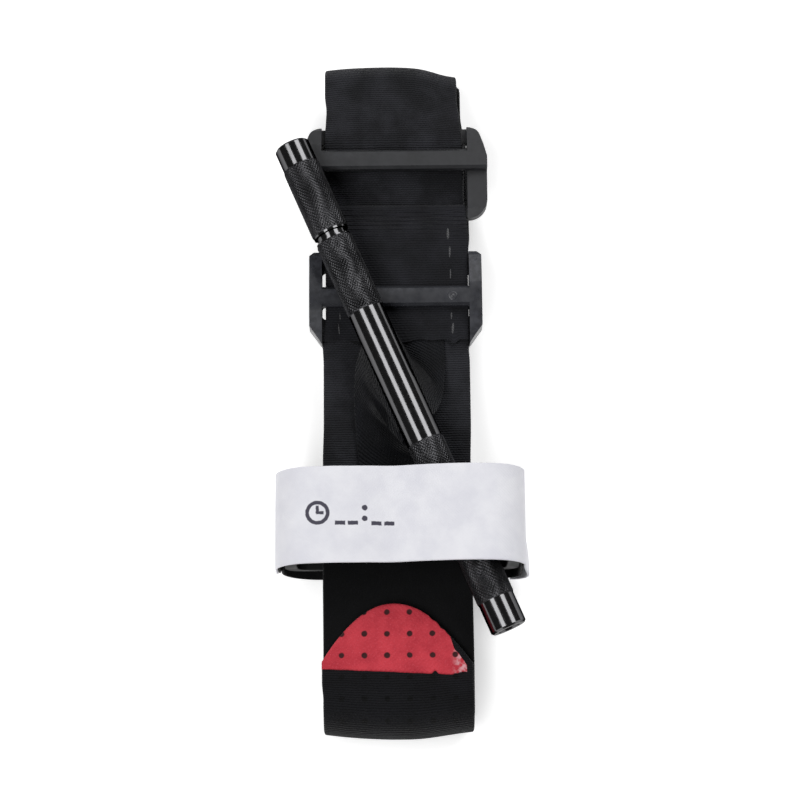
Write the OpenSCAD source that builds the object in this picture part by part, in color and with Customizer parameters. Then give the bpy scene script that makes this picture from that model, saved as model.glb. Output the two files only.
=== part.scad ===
// Windlass tourniquet, folded flat for carrying.
// Millimetres, +Z up. The band lies on z = 0 with its length along Y; x = 0 is the band's middle.
// The routing buckle is towards +Y and the red-tipped tail is towards -Y.

/* [Band] */
// Width of the webbing band
band_w = 38; // [36:0.5:39]
// Thickness of one pass of the band, webbing and pile together
band_t = 1.8; // [1.6:0.1:2]
// Length of the folded band from fold to fold
fold_span = 180.6; // [178:0.2:186]
// Length of the flat part of the tail flap
flap_len = 25.6; // [24:0.1:29]
// Width of the inner ribbon that the windlass winds up
ribbon_w = 25; // [20:0.5:26]

/* [Windlass] */
// Length of the windlass rod
rod_len = 138.6; // [130:0.1:142]
// Diameter of the windlass rod
rod_d = 9.4; // [9:0.1:10]
// How far the rod has slid down its slot from its middle
rod_slide = 0.7; // [0:0.1:1.2]
// Lean of the rod away from the band's length, degrees
rod_lean = 23.1; // [21:0.1:23.5]
// Width of each groove cut round the rod
groove_w = 1.6; // [1.2:0.1:3]

/* [Hardware] */
// Width of the routing buckle
buckle_w = 49; // [47:0.5:51]
// Width of the slotted yoke of the base plate
yoke_w = 45; // [44.5:0.5:47]
// Thickness of the moulded plates
plate_t = 2; // [1.8:0.1:2.4]
// Thickness of the raised crossbars
bar_t = 2.4; // [2:0.1:3]
// Length of the windlass clip along the band
clip_len = 21.6; // [18:0.2:22]
// Wall thickness of the clip's two hooks
hook_t = 3.4; // [3:0.1:4.2]
// Reach of each hook's lip over the rod
lip_reach = 5.6; // [4:0.1:7]

/* [Time strap] */
// Width of the time strap
strap_w = 25; // [22.5:0.5:25.5]
// Sag of the strap's top panel between the hooks
strap_sag = 2.4; // [1:0.1:2.6]

/* [Hidden] */
$fn = 64;

gap = 0.2;
hair = 0.01;
pitch = band_t + gap;
half_t = band_t / 2;
split = 0.1;
arc_steps = 14;

// Heights of the five passes, from the back of the tail up. The strap runs between the lowest two
z_tail = half_t;
strap_back_t = 0.6;
z_p4 = z_tail + pitch + strap_back_t;
z_p3 = z_p4 + pitch;
z_p2 = z_p3 + pitch;
strap_face_t = 0.65;
turn_room = 0.6;
plate_lo = z_p2 + half_t + turn_room + gap;
plate_hi = plate_lo + plate_t;
z_p1 = plate_hi + gap + half_t;
web_top = z_p1 + split - hair;
ribbon_t = 0.45;
ribbon_z = web_top + 0.06 + ribbon_t / 2;
sleeve_t = 0.5;
sleeve_z = ribbon_z + ribbon_t / 2 + 0.05 + sleeve_t / 2;
bar_lo = sleeve_z + sleeve_t / 2 + 0.1;
bar_hi = bar_lo + bar_t;
rod_z = bar_hi + 0.3 + rod_d / 2;
lip_lo = rod_z + rod_d / 2 + 0.3;
lip_hi = lip_lo + 2.7;

// Folds
span_half = fold_span / 2;
r_p1p2 = (z_p1 - z_p2) / 2;
r_p3p4 = (z_p3 - z_p4) / 2;
z_flap = z_p1 + half_t + gap + half_t;
r_out = (z_flap - z_tail) / 2;
y_out = -span_half + r_out + half_t;
fold_end = -258.2;
y_p1p2 = y_out - 0.5;
y_p3p4 = y_out - 0.4;
z_top = plate_hi + 1.1 + half_t;
r_top = (z_top - z_p3) / 2;
y_top = span_half - r_top - half_t;
y_p4p5 = y_top - 5;

// Routing buckle, measured from the origin along the band
buckle_y0 = 45.9;
buckle_y1 = 70.9;
rail_low = 3.5;
rail_top = 4;
bar_y0 = 58.5;
bar_y1 = 63.8;
slot_half = band_w / 2 + 0.25;

// Base plate yoke
yoke_y0 = 9.8;
yoke_y1 = 36;
yoke_bar_y0 = 20.9;
yoke_bar_y1 = 26.2;
yoke_slot_half = band_w / 2 + 0.2;
yoke_slots = [[18.5, 22.3], [26.8, 31.6]];
yoke_cut = 4.3;
yoke_rise = 6;
tongue_w = band_w - 4;
tongue_y = -23.4;

// Front sleeve layer
sleeve_end = 11.8;
sleeve_drop = 41.6;
rail_r = plate_t / 2;
rail_z = (plate_lo + plate_hi) / 2;
wrap_r = rail_r + 0.1 + sleeve_t / 2;
wrap_y = buckle_y0 + rail_low - rail_r;

// Clip and strap
clip_y = -36.8;
clip_half = 29.8;
clip_r = 8;
foot_r = 4;
strap_run_z = z_tail + half_t + gap / 2 + strap_back_t;
low_r_right = 5;
low_r_left = 10;
overlap = 0.75;
clip_x = 0.95;
fit = 0.15;
strap_r_right = clip_r + fit;
strap_r_left = clip_r + fit + overlap;
strap_z = lip_hi + fit;
strap_left = -clip_half - fit - overlap;
hinge_a = 45;
anchor_a = 36;
panel_low = 11;

// Tail flap
dome_bow = 24;
dome_lean = 1.1;
knuckle = 0.4;
flap_y0 = y_out;
flap_top = flap_y0 + flap_len;
dome_y = flap_top - pow(band_w / 2, 2) / dome_bow;
tip_left = flap_top - 16.8;
tip_right = flap_top - 18.7;

// Points along an arc in the drawing plane
function arc(cx, cy, r, a0, a1, n = arc_steps) =
    [for (i = [0:n]) [cx + r * cos(a0 + (a1 - a0) * i / n), cy + r * sin(a0 + (a1 - a0) * i / n)]];

// Unit normal on the right of the step from a to b
function step_n(a, b) = [b[1] - a[1], a[0] - b[0]] / norm(b - a);

// Mitred normal at point i of a path
function point_n(p, i) =
    let (a = step_n(p[max(i - 1, 0)], p[max(i, 1)]))
    let (b = step_n(p[min(i, len(p) - 2)], p[min(i + 1, len(p) - 1)]))
    (a + b) / (1 + a * b);

function shifted(p, t) = [for (i = [0:len(p) - 1]) p[i] + t * point_n(p, i)];

function reversed(p) = [for (i = [len(p) - 1:-1:0]) p[i]];

// Closed outline of a strip that runs along a path between two offsets to its right
function strip(p, lo, hi) = concat(shifted(p, lo), reversed(shifted(p, hi)));

// The whole band seen from the side, as [y, z]
band_start = 41;
climb_y0 = buckle_y0 + 6.6;
climb_y1 = bar_y1 + 3.7;
band_path = concat(
    [[band_start, z_p1]],
    arc(y_p1p2, (z_p1 + z_p2) / 2, r_p1p2, 90, 270),
    [[climb_y0, z_p2], [climb_y1, z_top]],
    arc(y_top, (z_top + z_p3) / 2, r_top, 90, -90),
    arc(y_p3p4, (z_p3 + z_p4) / 2, r_p3p4, 90, 270),
    arc(y_p4p5, (z_p4 + z_tail) / 2, (z_p4 - z_tail) / 2, 90, -90),
    arc(y_out, (z_flap + z_tail) / 2, r_out, -90, fold_end));
pile_start = -26;
pile_path = concat([[pile_start, z_p1]], [for (i = [1:len(band_path) - 1]) band_path[i]]);

// Draws a side view [y, z] and extrudes it across the band
module across(w) {
    rotate([90, 0, 90])
        linear_extrude(height = w, center = true)
            children();
}

// Draws an end view [x, z] and extrudes it along the band about y = yc
module along(w, yc) {
    translate([0, yc, 0])
        rotate([90, 0, 0])
            linear_extrude(height = w, center = true)
                children();
}

// Rectangle with round corners
module round_rect(x0, y0, x1, y1, r) {
    translate([x0 + r, y0])
        square([x1 - x0 - 2 * r, y1 - y0]);
    translate([x0, y0 + r])
        square([x1 - x0, y1 - y0 - 2 * r]);
    for (x = [x0 + r, x1 - r])
        for (y = [y0 + r, y1 - r])
            translate([x, y])
                circle(r = r);
}

// Side rail of the routing buckle seen from the side: a step below the crossbar, a slope above it
module buckle_side() {
    polygon([[buckle_y0, plate_lo], [buckle_y1, plate_lo], [buckle_y1, plate_hi + 1.6],
        [buckle_y1 - 1, plate_hi + 2.4], [bar_y1 + 1.5, bar_hi], [bar_y0 + 0.7, bar_hi],
        [bar_y0, bar_hi - 0.7], [bar_y0, plate_hi + 2.2], [buckle_y0 + 2.5, plate_hi + 1.4],
        [buckle_y0, plate_hi + 0.3]]);
}

// Ear of the yoke seen from the side: nearly level with the crossbar along its whole length
module yoke_side() {
    polygon([[yoke_y0, plate_lo], [yoke_y1, plate_lo], [yoke_y1, bar_hi - 2], [yoke_y1 - 1.2, bar_hi - 1],
        [yoke_bar_y1 + 1, bar_hi], [yoke_bar_y0 - 1, bar_hi], [yoke_y0 + 2.4, bar_hi - 1.4],
        [yoke_y0, bar_hi - 3]]);
}

// Crossbar section with its top edges bevelled
module bar_side(b0, b1) {
    polygon([[b0, bar_lo], [b1, bar_lo], [b1, bar_hi - 0.7], [b1 - 0.7, bar_hi],
        [b0 + 0.7, bar_hi], [b0, bar_hi - 0.7]]);
}

// Row of stitches laid flat, each a short bar of thread along Y
thread = 0.3;
stitch = 2.8;
stitch_gap = 1.5;
stitch_x = 14.1;
module stitch_row(x, y0, n, z) {
    for (i = [0:n - 1])
        translate([x - thread / 2, y0 + i * (stitch + stitch_gap), z])
            cube([thread, stitch, thread * 0.8]);
}

module band_webbing() {
    color([0.12, 0.12, 0.13])
        across(band_w)
            polygon(strip(band_path, -half_t, split - hair));
}

module band_loop_face() {
    color([0.09, 0.09, 0.10])
        across(band_w - 1)
            polygon(strip(pile_path, split + hair, half_t));
}

// Front layer, sewn round the buckle's lower rail and ending in a free edge
sleeve_path = concat(
    [[sleeve_end, sleeve_z], [sleeve_drop, sleeve_z], [buckle_y0 + 0.8, rail_z + wrap_r]],
    arc(wrap_y, rail_z, wrap_r, 90, -90),
    [[buckle_y0 - 0.5, rail_z - wrap_r], [buckle_y0 - 3.5, z_p1 - half_t - 0.05 - sleeve_t / 2],
        [yoke_y1 + 1, z_p1 - half_t - 0.05 - sleeve_t / 2]]);

module sleeve_front() {
    color([0.12, 0.12, 0.13])
        across(band_w - 1)
            polygon(strip(sleeve_path, -sleeve_t / 2, sleeve_t / 2));
}

// Ribbon from inside the sleeve up towards the rod
ribbon_reach = 4.5;
ribbon_top = bar_hi - 0.5;
module ribbon_upper() {
    color([0.10, 0.10, 0.11])
        across(ribbon_w)
            polygon(strip([[yoke_y1, ribbon_z], [sleeve_end - 1, ribbon_z],
                [ribbon_reach, ribbon_top - ribbon_t / 2]], -ribbon_t / 2, ribbon_t / 2));
}

// Ribbon from the rod down to its anchorage under the clip's strap
module ribbon_lower() {
    color([0.10, 0.10, 0.11])
        across(ribbon_w)
            polygon(strip([[-ribbon_reach, ribbon_top - ribbon_t / 2], [1 - sleeve_end, ribbon_z],
                [pile_start + 0.5, ribbon_z]], -ribbon_t / 2, ribbon_t / 2));
}

// Ribbon through the rod's slot, draped down both sides
drape_x = rod_d / 2 + 0.55;
module ribbon_core() {
    color([0.10, 0.10, 0.11])
        rotate([0, 0, rod_lean])
            along(ribbon_w, 0)
                polygon(strip([[-drape_x, rod_z - rod_d * 0.42], [-drape_x, rod_z - 0.5],
                    [0.5 - drape_x, rod_z], [drape_x - 0.5, rod_z],
                    [drape_x, rod_z - 0.5], [drape_x, rod_z - rod_d * 0.42]],
                    -ribbon_t / 2, ribbon_t / 2));
}

module buckle_stitching() {
    z = sleeve_z + sleeve_t / 2 + hair;
    color([0.20, 0.20, 0.21])
        for (x = [-stitch_x, stitch_x])
            stitch_row(x, yoke_y1 - 0.6, 2, z);
}

module sleeve_stitching() {
    z = sleeve_z + sleeve_t / 2 + hair;
    color([0.20, 0.20, 0.21])
        for (x = [-stitch_x, stitch_x]) {
            stitch_row(x, sleeve_end + 1.8, 2, z);
            stitch_row(x, yoke_bar_y1 + 1.6, 1, z);
        }
}

// Plan of the routing buckle: round lower corners, and shoulders that draw in above the crossbar
module buckle_plan(w) {
    shoulder = 1.7;
    hull()
        for (s = [-1, 1]) {
            translate([s * (w - 5), buckle_y0 + 5])
                circle(r = 5);
            translate([s * (w - 2), bar_y0 + 3])
                circle(r = 2);
            translate([s * (w - shoulder - 3.5), buckle_y1 - 3.5])
                circle(r = 3.5);
        }
}

module routing_buckle() {
    w = buckle_w / 2;
    color([0.16, 0.16, 0.17])
        union() {
            intersection() {
                translate([0, 0, plate_lo])
                    linear_extrude(height = bar_hi)
                        buckle_plan(w);
                for (s = [-1, 1])
                    translate([s * (slot_half + w) / 2, 0, 0])
                        across(w - slot_half)
                            buckle_side();
            }
            across(2 * slot_half + 2) {
                translate([buckle_y0 + rail_r, plate_lo])
                    square([rail_low - 2 * rail_r, plate_t]);
                for (y = [buckle_y0 + rail_r, buckle_y0 + rail_low - rail_r])
                    translate([y, rail_z])
                        circle(r = rail_r);
                translate([buckle_y1 - rail_top, plate_lo])
                    square([rail_top, plate_t]);
                bar_side(bar_y0, bar_y1);
            }
        }
}

// Outline of the base plate's yoke
module yoke_plan() {
    w = yoke_w / 2;
    polygon([[yoke_cut - w, yoke_y0], [w - yoke_cut, yoke_y0],
        [w, yoke_y0 + yoke_rise], [w, yoke_y1 - 1.2], [w - 1.2, yoke_y1],
        [1.2 - w, yoke_y1], [-w, yoke_y1 - 1.2], [-w, yoke_y0 + yoke_rise]]);
}

module base_plate() {
    w = yoke_w / 2;
    color([0.14, 0.14, 0.15])
        union() {
            translate([0, 0, plate_lo])
                linear_extrude(height = plate_t)
                    difference() {
                        union() {
                            yoke_plan();
                            round_rect(-tongue_w / 2, tongue_y, tongue_w / 2, yoke_y0 + 3, 3);
                        }
                        for (y = yoke_slots)
                            round_rect(-yoke_slot_half, y[0], yoke_slot_half, y[1], 1);
                    }
            intersection() {
                translate([0, 0, plate_lo])
                    linear_extrude(height = bar_hi)
                        yoke_plan();
                union() {
                    for (s = [-1, 1])
                        translate([s * (yoke_slot_half + w) / 2, 0, 0])
                            across(w - yoke_slot_half)
                                yoke_side();
                    across(2 * yoke_slot_half + 1)
                        bar_side(yoke_bar_y0, yoke_bar_y1);
                }
            }
        }
}

module windlass_clip() {
    inner = clip_half - hook_t;
    color([0.30, 0.31, 0.32])
        translate([clip_x, 0, 0])
            along(clip_len, clip_y)
                difference() {
                    union() {
                        round_rect(-clip_half, plate_lo + 3, clip_half, lip_hi, clip_r);
                        round_rect(-clip_half, plate_lo, clip_half, plate_lo + 12, foot_r);
                    }
                    round_rect(-inner, plate_hi, inner, lip_lo, 2.6);
                    translate([lip_reach - inner, lip_lo - 3])
                        square([2 * (inner - lip_reach), 12]);
                }
}

// Fixed part of the strap: down the right hook, under four passes of the band and up the left hook
anchor_path = concat(
    arc(clip_half - clip_r, lip_hi - clip_r, strap_r_right, anchor_a, 0, 5),
    arc(clip_half + fit - low_r_right, strap_run_z + low_r_right, low_r_right, 0, -90, 6),
    arc(low_r_left - clip_half - 0.1, strap_run_z + low_r_left, low_r_left, -90, -180, 8),
    [[-clip_half - 0.1, plate_lo + 9]]);

module strap_anchor_backing() {
    color([0.07, 0.07, 0.08])
        translate([clip_x, 0, 0])
            along(strap_w, clip_y)
                polygon(strip(anchor_path, -strap_back_t, 0));
}

face_path = concat(
    arc(clip_half - clip_r, lip_hi - clip_r, strap_r_right, anchor_a, 0, 5),
    arc(clip_half + fit - low_r_right, strap_run_z + low_r_right, low_r_right, 0, -75, 5));

module strap_anchor_face() {
    color([0.90, 0.90, 0.92])
        translate([clip_x, 0, 0])
            along(strap_w, clip_y)
                polygon(strip(face_path, -strap_back_t - 0.02 - strap_face_t, -strap_back_t - 0.02));
}

// Moving part of the strap: down the left hook's outside, across the top, to the right hook
panel_path = concat(
    [[strap_left, panel_low]],
    arc(strap_left + strap_r_left, strap_z - strap_r_left, strap_r_left, 180, 90, 7),
    [[-16, strap_z - 0.1], [-6, strap_z - strap_sag], [4, strap_z - strap_sag], [15, strap_z - 0.1]],
    arc(clip_half - clip_r, strap_z - strap_r_right, strap_r_right, 90, hinge_a, 5));

module time_strap_backing() {
    color([0.07, 0.07, 0.08])
        translate([clip_x, 0, 0])
            along(strap_w, clip_y)
                polygon(strip(panel_path, -strap_back_t, 0));
}

module time_strap_face() {
    color([0.90, 0.90, 0.92])
        translate([clip_x, 0, 0])
            along(strap_w, clip_y)
                polygon(strip(panel_path, -strap_back_t - 0.02 - strap_face_t, -strap_back_t - 0.02));
}

// One half of the rod's profile, as [radius, distance from the middle]
end_hole = 6.2;
groove_at = rod_len / 2 - 27.3;
groove_r = rod_d / 2 - 0.6;
function rod_half(r, h) =
    [[r, groove_at - groove_w / 2], [groove_r, groove_at - groove_w / 2],
        [groove_r, groove_at + groove_w / 2], [r, groove_at + groove_w / 2], [r, h - 0.5],
        [r - 0.5, h], [2.9, h], [2.5, h - 0.4], [2.5, h - 3], [1.2, h - 3], [1.2, h - end_hole],
        [0, h - end_hole]];

module windlass_rod() {
    half = rod_half(rod_d / 2, rod_len / 2);
    color([0.06, 0.06, 0.07])
        translate([0, 0, rod_z])
            rotate([0, 0, rod_lean])
                translate([0, -rod_slide, 0])
                    difference() {
                        rotate([-90, 0, 0])
                            rotate_extrude()
                                polygon(concat(half, [for (p = reversed(half)) [p[0], -p[1]]]));
                        cube([rod_d + 2, ribbon_w + 3, 1.8], center = true);
                    }
}

// Plan of the tail flap: straight sides, and an end that bows out as a parabola
module flap_plan(w) {
    start = flap_y0 + knuckle;
    dome = [for (t = [-1:0.0625:1])
        [w / 2 * t - dome_lean * (1 - t * t), dome_y + (flap_top - dome_y) * (1 - t * t)]];
    polygon(concat([[-w / 2, start]], dome, [[w / 2, start]]));
}

module tail_flap_webbing() {
    color([0.12, 0.12, 0.13])
        translate([0, 0, z_flap - split + hair])
            linear_extrude(height = half_t + split - hair)
                flap_plan(band_w);
}

module tail_flap_hook_tape() {
    color([0.08, 0.08, 0.09])
        translate([0, 0, z_flap - half_t])
            linear_extrude(height = half_t - split - hair)
                translate([0, -0.5])
                    flap_plan(band_w - 1);
}

module tail_tip() {
    h = band_w / 2;
    color([0.80, 0.18, 0.22])
        translate([0, 0, z_flap + half_t + 0.02])
            linear_extrude(height = 0.35)
                intersection() {
                    flap_plan(band_w);
                    polygon([[-h, tip_left], [h, tip_right], [h, flap_top + 1], [-h, flap_top + 1]]);
                }
}

band_webbing();
band_loop_face();
sleeve_front();
ribbon_upper();
ribbon_lower();
buckle_stitching();
sleeve_stitching();
routing_buckle();
base_plate();
windlass_clip();
strap_anchor_backing();
strap_anchor_face();
windlass_rod();
ribbon_core();
time_strap_face();
time_strap_backing();
tail_flap_webbing();
tail_flap_hook_tape();
tail_tip();
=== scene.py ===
import math
import bpy
import bmesh
import numpy as np
from mathutils import Matrix, Vector, noise


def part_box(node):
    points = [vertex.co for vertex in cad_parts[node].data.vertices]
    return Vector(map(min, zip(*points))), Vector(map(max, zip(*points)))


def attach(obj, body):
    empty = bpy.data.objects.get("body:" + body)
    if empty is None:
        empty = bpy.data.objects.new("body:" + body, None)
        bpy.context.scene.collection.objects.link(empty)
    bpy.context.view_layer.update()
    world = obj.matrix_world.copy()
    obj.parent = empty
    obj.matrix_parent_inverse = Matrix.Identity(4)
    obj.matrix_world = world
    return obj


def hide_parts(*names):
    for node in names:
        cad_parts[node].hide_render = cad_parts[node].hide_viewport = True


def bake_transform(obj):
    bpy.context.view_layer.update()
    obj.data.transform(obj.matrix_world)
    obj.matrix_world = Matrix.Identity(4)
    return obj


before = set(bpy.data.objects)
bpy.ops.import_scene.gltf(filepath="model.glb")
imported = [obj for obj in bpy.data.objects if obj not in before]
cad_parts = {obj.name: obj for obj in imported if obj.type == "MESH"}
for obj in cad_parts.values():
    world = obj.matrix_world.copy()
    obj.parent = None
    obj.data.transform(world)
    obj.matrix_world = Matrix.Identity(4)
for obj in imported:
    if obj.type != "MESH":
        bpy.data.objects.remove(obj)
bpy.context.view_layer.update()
MM = 0.001


# ---------------------------------------------------------------- shading
class Shade:
    """One procedural material: a Principled shader and the nodes that feed it."""

    def __init__(self, name, color, rough=0.6, spec=0.5, metal=0.0):
        self.mat = bpy.data.materials.new(name)
        self.mat.use_nodes = True
        self.nt = self.mat.node_tree
        self.bsdf = self.nt.nodes["Principled BSDF"]
        self.set("Base Color", (*color, 1))
        self.set("Roughness", rough)
        self.set("Specular IOR Level", spec)
        self.set("Metallic", metal)
        self.normal = None

    def set(self, name, value):
        self.plug(self.bsdf.inputs[name], value)

    def node(self, kind, **props):
        n = self.nt.nodes.new(kind)
        for k, v in props.items():
            setattr(n, k, v)
        return n

    def plug(self, sock, value):
        """Links a socket to the input, or gives it a constant."""
        if hasattr(value, "node"):
            self.nt.links.new(value, sock)
        else:
            sock.default_value = value

    def m(self, op, a, b=0.0, c=0.0):
        """One math node on numbers or sockets."""
        n = self.node("ShaderNodeMath", operation=op)
        self.plug(n.inputs[0], a)
        self.plug(n.inputs[1], b)
        self.plug(n.inputs[2], c)
        return n.outputs[0]

    def uv_mm(self):
        """u across and v along the piece, in millimetres."""
        return self.xy(self.node("ShaderNodeUVMap", uv_map="strip").outputs[0])

    def plan(self):
        """x and y of the point while everything is at rest, in millimetres."""
        return self.xy(self.node("ShaderNodeUVMap", uv_map="plan").outputs[0])

    def place(self):
        """The point itself in the object's own coordinates, in metres."""
        return self.node("ShaderNodeTexCoord").outputs["Object"]

    def xy(self, vec):
        s = self.node("ShaderNodeSeparateXYZ")
        self.nt.links.new(vec, s.inputs[0])
        return s.outputs[0], s.outputs[1]

    def vec(self, x, y):
        n = self.node("ShaderNodeCombineXYZ")
        self.plug(n.inputs[0], x)
        self.plug(n.inputs[1], y)
        return n.outputs[0]

    def noise(self, vec, scale, detail=2.0, rough=0.5):
        n = self.node("ShaderNodeTexNoise")
        self.nt.links.new(vec, n.inputs["Vector"])
        n.inputs["Scale"].default_value = scale
        n.inputs["Detail"].default_value = detail
        n.inputs["Roughness"].default_value = rough
        return n.outputs["Fac"]

    def cells(self, vec, scale):
        """Distance from the nearest point of a random scatter."""
        n = self.node("ShaderNodeTexVoronoi", feature="F1")
        self.nt.links.new(vec, n.inputs["Vector"])
        n.inputs["Scale"].default_value = scale
        return n.outputs["Distance"]

    def between(self, value, lo, hi, a=0.0, b=1.0):
        """A smooth step from a to b as the value goes from lo to hi."""
        n = self.node("ShaderNodeMapRange", clamp=True, interpolation_type="SMOOTHSTEP")
        self.plug(n.inputs["Value"], value)
        for k, v in (("From Min", lo), ("From Max", hi), ("To Min", a), ("To Max", b)):
            n.inputs[k].default_value = v
        return n.outputs["Result"]

    def mix(self, fac, a, b):
        """Colour a or b, or a blend of them by fac."""
        n = self.node("ShaderNodeMix", data_type="RGBA")
        self.plug(n.inputs["Factor"], fac)
        self.plug(n.inputs[6], (*a, 1) if isinstance(a, tuple) else a)
        self.plug(n.inputs[7], (*b, 1) if isinstance(b, tuple) else b)
        return n.outputs[2]

    def bump(self, height, dist_mm, strength=1.0):
        """Adds relief on top of any relief that is there already."""
        n = self.node("ShaderNodeBump")
        n.inputs["Distance"].default_value = dist_mm * MM
        n.inputs["Strength"].default_value = strength
        self.plug(n.inputs["Height"], height)
        if self.normal is not None:
            self.nt.links.new(self.normal, n.inputs["Normal"])
        self.normal = n.outputs[0]
        self.nt.links.new(self.normal, self.bsdf.inputs["Normal"])


def tone(c, k):
    """A colour k times as bright."""
    return tuple(x * k for x in c)


def woven(name, color, rib=0.62, yarn=0.9, rough=0.82, depth=0.3, slant=0.0, vary=0.35):
    """Woven tape: ribs across it, each crossed by yarns, uneven in colour and height, with painted
    shade in the hollows between the ribs.
    rib, yarn and depth are in millimetres; vary is how far the colour strays either way."""
    s = Shade(name, color, rough, 0.2)
    u, v = s.uv_mm()
    wob = s.noise(s.vec(u, v), 0.35, 2)
    line = s.m("ADD", s.m("ADD", v, s.m("MULTIPLY", u, slant)), s.m("MULTIPLY", wob, 0.5))
    ribs = s.m("ABSOLUTE", s.m("SINE", s.m("MULTIPLY", line, math.pi / rib)))
    step = s.m("MULTIPLY", s.m("FLOOR", s.m("DIVIDE", line, rib)), math.pi)
    phase = s.m("ADD", s.m("MULTIPLY", u, math.pi / yarn), s.m("MULTIPLY", step, 0.5))
    yarns = s.m("ABSOLUTE", s.m("SINE", phase))
    fluff = s.noise(s.vec(u, v), 2.6, 3, 0.65)
    crossed = s.m("MULTIPLY", ribs, s.m("MULTIPLY_ADD", yarns, 0.45, 0.55))
    s.bump(s.m("ADD", crossed, s.m("MULTIPLY", fluff, 0.35)), depth, 0.9)
    patch = s.between(s.noise(s.vec(u, v), 0.09, 3, 0.6), 0.35, 0.68)
    # Painted shade: the colour darkens to 0.45 of itself in the hollows between the ribs, where the
    # bump is lowest
    painted_rib_shade = s.m("MULTIPLY_ADD", ribs, 0.5, 0.5)
    c = s.mix(patch, tone(color, 1 - vary), tone(color, 1 + vary))
    s.set("Base Color", s.mix(painted_rib_shade, tone(color, 0.45), c))
    s.set("Roughness", s.between(fluff, 0.3, 0.7, rough - 0.08, min(rough + 0.1, 1)))
    s.set("Sheen Weight", 0.05)
    s.set("Sheen Roughness", 0.45)
    return s


def pile(name, color, size=1.4, depth=0.35):
    """Loop or hook pile: a mat of tiny tufts, with a painted highlight on their raised tips."""
    s = Shade(name, color, 0.95, 0.2)
    u, v = s.uv_mm()
    p = s.vec(u, v)
    tufts = s.m("SUBTRACT", 1.0, s.cells(p, size))
    fuzz = s.noise(p, 3.2, 4, 0.7)
    clump = s.between(s.noise(p, 0.28, 3, 0.6), 0.35, 0.7)
    s.bump(s.m("ADD", s.m("MULTIPLY", tufts, 0.7), s.m("MULTIPLY", fuzz, 0.8)), depth)
    # Painted highlight: the raised fuzz is made up to 2.4 times as bright, in random clumps
    light = s.m("MULTIPLY", s.between(fuzz, 0.42, 0.72), clump)
    s.set("Base Color", s.mix(light, tone(color, 0.7), tone(color, 2.4)))
    s.set("Sheen Weight", 0.06)
    s.set("Sheen Roughness", 0.5)
    return s


def moulded(name, color, rough, grain, wear=1.6, spec=0.5):
    """Moulded nylon: fine spark-eroded grain, faint flow marks and paler rubbed edges. grain is the
    relief in millimetres, and wear is how much brighter the edges are."""
    s = Shade(name, color, rough, spec)
    p = s.place()
    fine = s.noise(p, 5200, 2, 0.6)
    flow = s.noise(p, 120, 4, 0.6)
    s.bump(fine, grain, 0.5)
    s.bump(flow, 0.12, 0.25)
    edge = s.between(s.node("ShaderNodeNewGeometry").outputs["Pointiness"], 0.5, 0.58)
    # Rubbed only here and there
    edge = s.m("MULTIPLY", edge, s.between(s.noise(p, 700, 3), 0.35, 0.65))
    body = s.mix(s.between(flow, 0.35, 0.65), tone(color, 0.85), tone(color, 1.15))
    s.set("Base Color", s.mix(edge, body, tone(color, wear)))
    s.set("Roughness", s.between(s.noise(p, 260, 3), 0.3, 0.7, rough - 0.07, rough + 0.09))
    return s


m_web = woven("webbing_weave", (0.0180, 0.0184, 0.0222), depth=0.36, vary=0.42)
m_sleeve = woven("sleeve_weave", (0.0112, 0.0115, 0.0145), rib=0.66, yarn=1.1, depth=0.22)
m_ribbon = woven("ribbon_weave", (0.0056, 0.0060, 0.0084), rib=0.85, yarn=0.8, rough=0.7,
                 depth=0.5, slant=-0.45, vary=0.4)
m_pile = pile("loop_pile", (0.0022, 0.0023, 0.0027))
m_hook = pile("hook_tape", (0.003, 0.003, 0.0033), 1.0, 0.25)
m_buckle = moulded("buckle_nylon", (0.0142, 0.0147, 0.0170), 0.5, 0.03)
m_plate = moulded("plate_nylon", (0.0250, 0.0260, 0.0310), 0.33, 0.015, 1.8)
m_clip = moulded("clip_nylon", (0.007, 0.0072, 0.008), 0.55, 0.02, spec=0.15)


def rod_material():
    """Polished dark anodised metal with a few rubbed patches."""
    dark, rubbed = (0.105, 0.105, 0.108), (0.13, 0.13, 0.133)
    s = Shade("rod_anodised", dark, 0.12, 0.5, 1.0)
    s.set("Specular Tint", (0.14, 0.14, 0.14, 1))
    p = s.place()
    turn = s.noise(p, 900, 2)
    s.set("Roughness", s.between(turn, 0.3, 0.7, 0.10, 0.16))
    rub = s.between(s.noise(p, 180, 4, 0.7), 0.66, 0.8)
    s.set("Base Color", s.mix(rub, dark, rubbed))
    return s


def knurl_material():
    """The same metal, duller on the knurled grips."""
    s = Shade("knurl_anodised", (0.05, 0.05, 0.053), 0.32, 0.5, 1.0)
    s.set("Specular Tint", (0.2, 0.2, 0.2, 1))
    p = s.place()
    worn = s.noise(p, 500, 3, 0.7)
    dark, bright = (0.046, 0.046, 0.049), (0.062, 0.062, 0.065)
    s.set("Base Color", s.mix(s.between(worn, 0.4, 0.75), dark, bright))
    s.set("Roughness", s.between(worn, 0.3, 0.7, 0.29, 0.34))
    return s


def thread_material():
    """Twisted thread: turns along it, with a painted highlight on their crests and painted shade
    between them.
    """
    turns_per_m = 9000
    s = Shade("sewing_thread", (0.05, 0.05, 0.055), 0.6, 0.4)
    x, y = s.xy(s.place())
    twist = s.m("SINE", s.m("MULTIPLY", s.m("ADD", x, y), turns_per_m))
    s.bump(twist, 0.05, 0.6)
    # Painted light: the twist's crests are pale and its hollows dark
    s.set("Base Color", s.mix(s.between(twist, -1, 1), (0.03, 0.03, 0.033), (0.085, 0.085, 0.09)))
    s.set("Sheen Weight", 0.3)
    return s


m_rod = rod_material()
m_knurl = knurl_material()
m_thread = thread_material()

# Pressed dots of the tail's tip lie on this lattice, in millimetres: one dot's place, the two
# pitches and a dot's radius
DOT_X, DOT_Y, DOT_PX, DOT_PY, DOT_R = -3.0, -59.2, 5.7, 5.42, 0.72


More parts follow.
